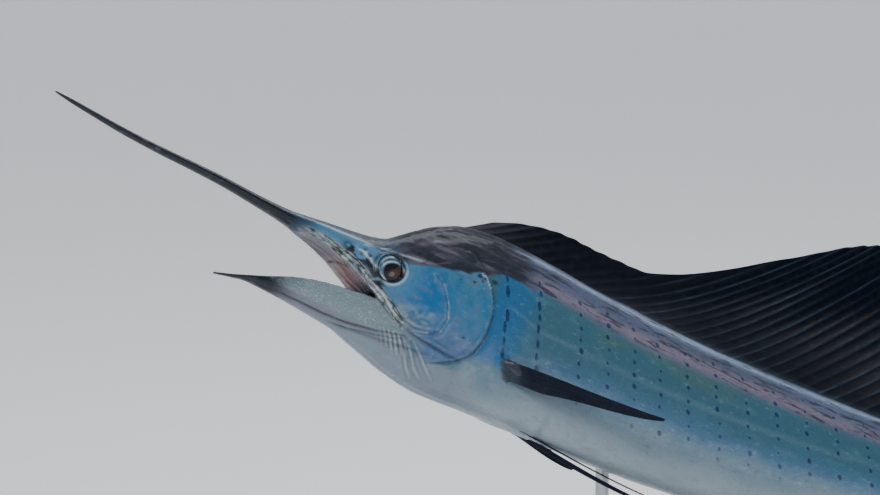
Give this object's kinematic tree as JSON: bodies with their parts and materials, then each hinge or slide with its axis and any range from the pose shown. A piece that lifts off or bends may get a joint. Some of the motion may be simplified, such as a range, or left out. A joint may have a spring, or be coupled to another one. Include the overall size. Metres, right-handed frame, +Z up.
{
  "type": "sailfish",
  "caption": "Life-size sailfish with its mouth open and its tall back fin half folded, rising to the left, held over a flat base by slim steel rods.",
  "frame": {"origin": "middle of the stand base's underside, on the surface that it stands on", "axes": "+Z up; the fish heads towards -X, so its length runs along X; its left side faces -Y"},
  "size_m": [2.3344, 0.8076, 1.293],
  "materials": {
    "skin_blue": "wet gloss, electric blue with turquoise flanks and a mauve-brown band along the back",
    "bill_black": "satin near-black",
    "jaw_grey": "wet pale grey, finely speckled",
    "sail_navy": "wet near-black navy membrane with paler rays",
    "fin_navy": "wet near-black navy",
    "eye_dark": "polished, dark brown-red pupil in a silver-blue ring",
    "stand_board": "satin dark brown wood",
    "stand_steel": "brushed along the rod"
  },
  "bodies": {
    "root": {"bill": "bill_black", "head": "skin_blue", "nape": "skin_blue", "gill_cover_left": "skin_blue", "gill_cover_right": "skin_blue", "lower_jaw": "jaw_grey", "throat": "jaw_grey", "trunk_front": "skin_blue", "trunk_middle": "skin_blue", "trunk_rear": "skin_blue", "tail_stalk": "skin_blue", "dorsal_sail": "sail_navy", "second_dorsal_fin": "fin_navy", "anal_fin_first": "fin_navy", "anal_fin_second": "fin_navy", "pectoral_fin_left": "fin_navy", "pectoral_fin_right": "fin_navy", "pelvic_fin_left": "fin_navy", "pelvic_fin_right": "fin_navy", "caudal_fin_upper": "fin_navy", "caudal_fin_lower": "fin_navy", "eye_left": "eye_dark", "eye_right": "eye_dark", "stand_base": "stand_board", "stand_flange_front": "stand_steel", "stand_flange_rear": "stand_steel", "stand_rod_front": "stand_steel", "stand_rod_rear": "stand_steel"}
  },
  "joints": []
}
